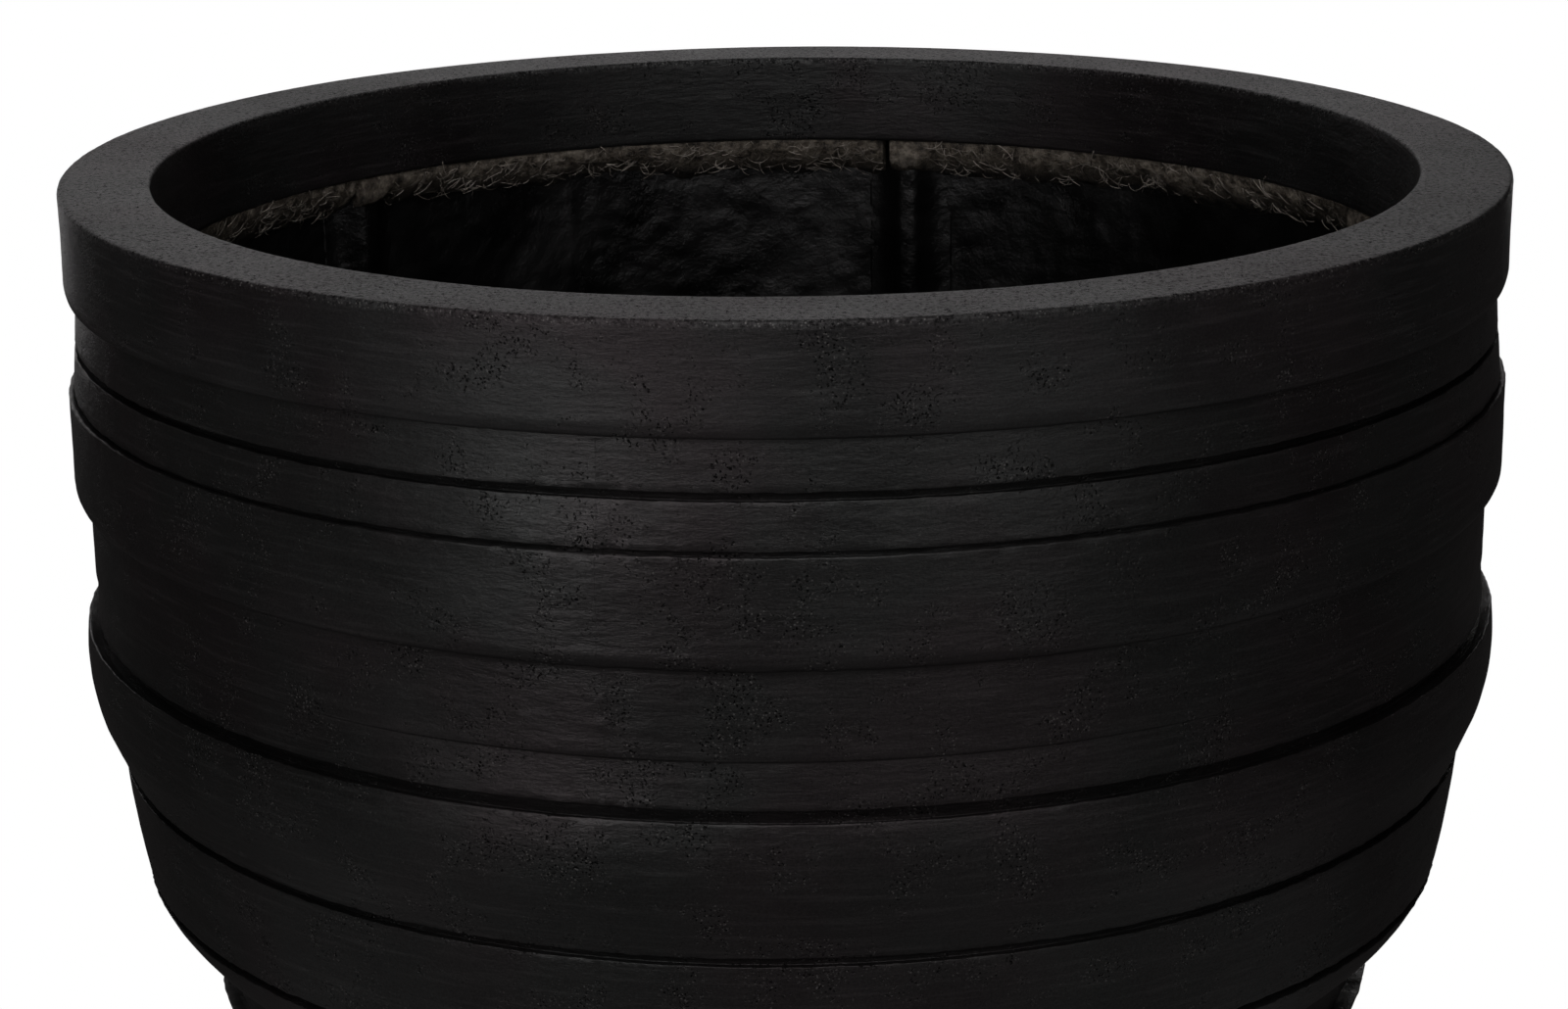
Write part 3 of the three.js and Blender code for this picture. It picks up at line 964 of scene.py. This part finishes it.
def ring_piece(step):
    """The welded steel ring, hanging through the lug with its far side on the head."""
    drop = RING_HEIGHT - BUNG_SEAT - BUNG_HEAD - PULL_WIRE - 0.3
    tilt = math.pi / 2 + math.asin(drop / (2 * PULL_RING))
    along = np.radians(np.arange(0, 360, step))[:, None]
    round_wire = np.radians(np.arange(0, 360, 22.5))[None]
    weld = 0.35 * np.exp(-((along - math.pi / 2) / 0.09) ** 2)
    thick = PULL_WIRE * 0.96 + weld
    reach = PULL_RING + thick * np.cos(round_wire)
    side = thick * np.sin(round_wire)
    up = PULL_RING + reach * np.cos(along)
    x = side * math.cos(tilt) + up * math.sin(tilt)
    z = RING_HEIGHT - side * math.sin(tilt) + up * math.cos(tilt)
    vertices = np.stack([x, reach * np.sin(along), z], -1).reshape(-1, 3)
    faces = grid_faces(along.shape[0], round_wire.shape[1], True, True)
    piece = new_object("steel_ring", vertices * MM, faces, "pull_ring")
    return finish_piece(piece, "steel", STEEL, "bung_pull_ring")


# ---------------------------------------------------------------- build

def build():
    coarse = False
    round_step = 0.75 if coarse else 0.5
    facing_half("facing_left", BACK_SEAM, "facing_half_left", round_step)
    facing_half("facing_right", FRONT_SEAM, "facing_half_right", round_step)
    make_rim(round_step)
    laminate_half("laminate_left", BACK_SEAM, "laminate_half_left", round_step)
    laminate_half("laminate_right", FRONT_SEAM, "laminate_half_right", round_step)
    for number in range(1, RIBS + 1):
        rib_piece(number)
        fillet_piece(number, 0.35)
        strands_on(number)
    base_piece(1.0)
    foot_piece(0.75)
    bush_piece(3.75)
    bung_piece(3.75)
    lug_piece()
    ring_piece(5.0)


build()

# The foam core hidden in the rim stays the CAD piece.
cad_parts["rim_core"].data.materials.clear()
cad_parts["rim_core"].data.materials.append(FOAM)

# ---------------------------------------------------------------- floor, lights, camera

def stage_piece(name, vertices, faces, material):
    """Part of the studio: the camera sees it, but it throws no light back on the black tub."""
    mesh = bpy.data.meshes.new(name)
    mesh.from_pydata(vertices, [], faces)
    mesh.materials.append(material)
    piece = bpy.data.objects.new(name, mesh)
    bpy.context.scene.collection.objects.link(piece)
    piece.visible_diffuse = False
    piece.visible_glossy = False
    piece.visible_transmission = False
    return piece


def white_material():
    """Pure white wherever the camera sees it, as in a cut-out product picture."""
    material, shader = new_material("white_studio", (0, 0, 0), 1.0)
    shader.inputs["Emission Color"].default_value = (1, 1, 1, 1)
    shader.inputs["Emission Strength"].default_value = 1.0
    shader.inputs["Specular IOR Level"].default_value = 0.0
    return material


def make_studio():
    """A white floor and a closed white drum round it."""
    sides = 48
    radius = 13.0
    ring = [(radius * math.cos(TURN * side / sides), radius * math.sin(TURN * side / sides))
            for side in range(sides)]
    low = [(x, y, 0.0) for x, y in ring]
    high = [(x, y, 20.0) for x, y in ring]
    walls = [(side, (side + 1) % sides, sides + (side + 1) % sides, sides + side)
             for side in range(sides)]
    white = white_material()
    stage_piece("floor", low, [tuple(range(sides))], white)
    drum = stage_piece("backdrop", low + high, walls + [tuple(range(sides, 2 * sides))], white)
    drum.visible_shadow = False


def lamp(name, place, aim, size, power):
    """A faintly warm area light that the camera doesn't see."""
    light = bpy.data.lights.new(name, "AREA")
    light.shape = "RECTANGLE"
    light.size, light.size_y = size
    light.energy = power
    light.color = (1.0, 0.972, 0.98)
    holder = bpy.data.objects.new(name, light)
    bpy.context.scene.collection.objects.link(holder)
    holder.location = place
    holder.rotation_euler = (Vector(aim) - Vector(place)).to_track_quat("-Z", "Y").to_euler()
    holder.visible_camera = False


def softbox(name, azimuth, elevation, distance, size, power):
    """A lamp aimed at the tub. Azimuth 0 is in front, positive to the right."""
    turn, lift = math.radians(azimuth), math.radians(elevation)
    aim = Vector((0, 0, 0.5))
    away = Vector((math.sin(turn) * math.cos(lift), -math.cos(turn) * math.cos(lift), math.sin(lift)))
    lamp(name, aim + away * distance, aim, size, power)


def make_lights():
    world = bpy.data.worlds.new("studio")
    world.use_nodes = True
    world.node_tree.nodes["Background"].inputs["Color"].default_value = (1, 0.94, 0.93, 1)
    world.node_tree.nodes["Background"].inputs["Strength"].default_value = 0.026
    bpy.context.scene.world = world
    bpy.context.scene.view_settings.view_transform = "Standard"
    softbox("front_left", -31, 7, 3.4, (0.6, 1.5), 15)
    softbox("front_right", 30, 7, 3.6, (0.6, 1.5), 5.5)
    softbox("front_wide", 0, 20, 3.4, (2.4, 1.2), 14)
    softbox("front_high", -4, 38, 3.4, (2.0, 1.0), 14)
    softbox("back_high", -177, 24, 4.0, (3.6, 1.4), 13.5)
    softbox("back_left", -145, 4, 3.2, (0.6, 1.5), 3)
    softbox("back_low", 170, -3, 3.4, (2.4, 0.6), 10)
    softbox("overhead", 0, 90, 3.6, (1.8, 1.8), 14)
    # The floor throws light up under the bands.
    lamp("floor_bounce", (-0.1, -1.0, 0.004), (-0.1, -1.0, 1.0), (2.8, 1.6), 1.0)


def make_camera():
    """A camera a little above the rim, looking down, and turned and rolled very slightly."""
    camera = bpy.data.cameras.new("camera")
    camera.sensor_width = 36.0
    camera.lens = 3600.9 / 1600 * 36
    camera.clip_end = 100
    holder = bpy.data.objects.new("camera", camera)
    bpy.context.scene.collection.objects.link(holder)
    holder.location = (0, -2.415, 1.1511)
    holder.rotation_mode = "XYZ"
    yaw = Matrix.Rotation(0.00133, 4, "Z")
    pitch = Matrix.Rotation(math.pi / 2 - 0.28307, 4, "X")
    roll = Matrix.Rotation(-0.01174, 4, "Z")
    holder.rotation_euler = (yaw @ pitch @ roll).to_euler("XYZ")
    bpy.context.scene.camera = holder


make_studio()
make_lights()
make_camera()
